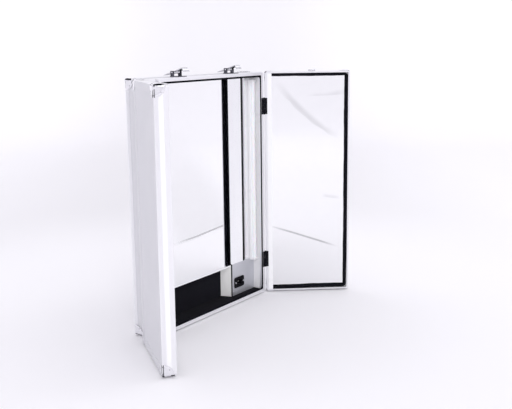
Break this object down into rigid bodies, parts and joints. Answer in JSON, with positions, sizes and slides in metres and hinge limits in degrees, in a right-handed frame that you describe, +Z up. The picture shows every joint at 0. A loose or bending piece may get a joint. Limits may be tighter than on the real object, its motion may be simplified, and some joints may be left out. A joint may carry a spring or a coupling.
{
  "type": "illuminated dressing mirror in a transport case",
  "caption": "Upright dressing-room mirror in a shallow aluminium transport case, with lamp battens, a storage compartment and mirrored door leaves hinged at both sides.",
  "frame": {"origin": "on the floor, under the middle of the whole object with its doors opened", "axes": "+X to the viewer's right, across the case; +Y from the open front to the back; +Z up"},
  "size_m": [0.924, 0.2904, 0.7257],
  "materials": {
    "aluminium_profile": "satin anodised extrusion",
    "ballast_case": "zinc sheet case",
    "black_carpet": "needle-felt carpet",
    "black_foam": "soft black foam rubber",
    "black_hinge": "black enamel on steel",
    "board": "raw hardboard and pine",
    "brushed_panel": "vertically brushed",
    "chrome_corner": "polished chrome plate",
    "cream_plate": "light cream enamel",
    "foot_rubber": "black rubber",
    "inlet_plastic": "fine spark-eroded moulding",
    "lamp_lens": "opal diffuser",
    "latch_chrome": "chrome plate, handled",
    "lead_sheath": "grey cable sheath",
    "mirror_glass": "silvered float glass, ground edge",
    "nickel_pin": "bright nickel plate",
    "panel_laminate": "light grey laminate on plywood, fine grain",
    "steel": "zinc plate",
    "white_enamel": "white powder coat",
    "white_foam": "closed-cell packing foam"
  },
  "bodies": {
    "case": {"back_panel": "panel_laminate", "body_closing_rim": "aluminium_profile", "body_corner_caps": "chrome_corner", "body_edge_profile": "aluminium_profile", "body_feet": "foot_rubber", "body_hinge_leaves": "black_hinge", "body_rivets": "steel", "bottom_wall_panel": "panel_laminate", "centre_mirror": "mirror_glass", "compartment_lining": "black_carpet", "electrics_side_plate": "cream_plate", "hinge_pins": "black_hinge", "inlet_panel": "brushed_panel", "inlet_pins": "nickel_pin", "inlet_screws": "steel", "internal_leads": "lead_sheath", "lamp_ballasts": "ballast_case", "lamp_end_caps": "white_enamel", "latch_bases": "latch_chrome", "latch_pins": "latch_chrome", "left_lamp_housing": "white_enamel", "left_lamp_lens": "lamp_lens", "left_wall_panel": "panel_laminate", "mains_inlet": "inlet_plastic", "mirror_board": "board", "mirror_rails": "board", "mirror_shelf": "white_enamel", "right_lamp_housing": "white_enamel", "right_lamp_lens": "lamp_lens", "right_wall_panel": "panel_laminate", "rim_gasket": "black_foam", "top_wall_panel": "panel_laminate"},
    "left_door": {"left_door_corner_caps": "chrome_corner", "left_door_edge_profile": "aluminium_profile", "left_door_feet": "foot_rubber", "left_door_foam_core": "white_foam", "left_door_hinge_bar": "white_enamel", "left_door_hinge_leaves": "black_hinge", "left_door_keeper": "latch_chrome", "left_door_lining": "black_foam", "left_door_mirror": "mirror_glass", "left_door_rim": "aluminium_profile", "left_door_rivets": "steel", "left_door_skin": "panel_laminate", "left_door_walls": "panel_laminate"},
    "right_door": {"right_door_corner_caps": "chrome_corner", "right_door_edge_profile": "aluminium_profile", "right_door_feet": "foot_rubber", "right_door_foam_core": "white_foam", "right_door_hinge_bar": "white_enamel", "right_door_hinge_leaves": "black_hinge", "right_door_keeper": "latch_chrome", "right_door_lining": "black_foam", "right_door_mirror": "mirror_glass", "right_door_rim": "aluminium_profile", "right_door_rivets": "steel", "right_door_skin": "panel_laminate", "right_door_walls": "panel_laminate"},
    "left_latch": {"left_latch_lever": "latch_chrome"},
    "right_latch": {"right_latch_lever": "latch_chrome"}
  },
  "joints": [
    {"name": "left_door_hinge", "type": "hinge", "parent": "case", "child": "left_door", "pos_m": [-0.268, 0.0631, 0.35], "axis": [0, 0, -1], "range_deg": [-128, 47]},
    {"name": "right_door_hinge", "type": "hinge", "parent": "case", "child": "right_door", "pos_m": [0.268, 0.0631, 0.35], "axis": [0, 0, 1], "range_deg": [-128, 47]},
    {"name": "left_latch_pivot", "type": "hinge", "parent": "case", "child": "left_latch", "pos_m": [-0.121, 0.0891, 0.712], "axis": [-1, 0, 0], "range_deg": [-18, 3]},
    {"name": "right_latch_pivot", "type": "hinge", "parent": "case", "child": "right_latch", "pos_m": [0.121, 0.0891, 0.712], "axis": [-1, 0, 0], "range_deg": [-18, 3]}
  ]
}
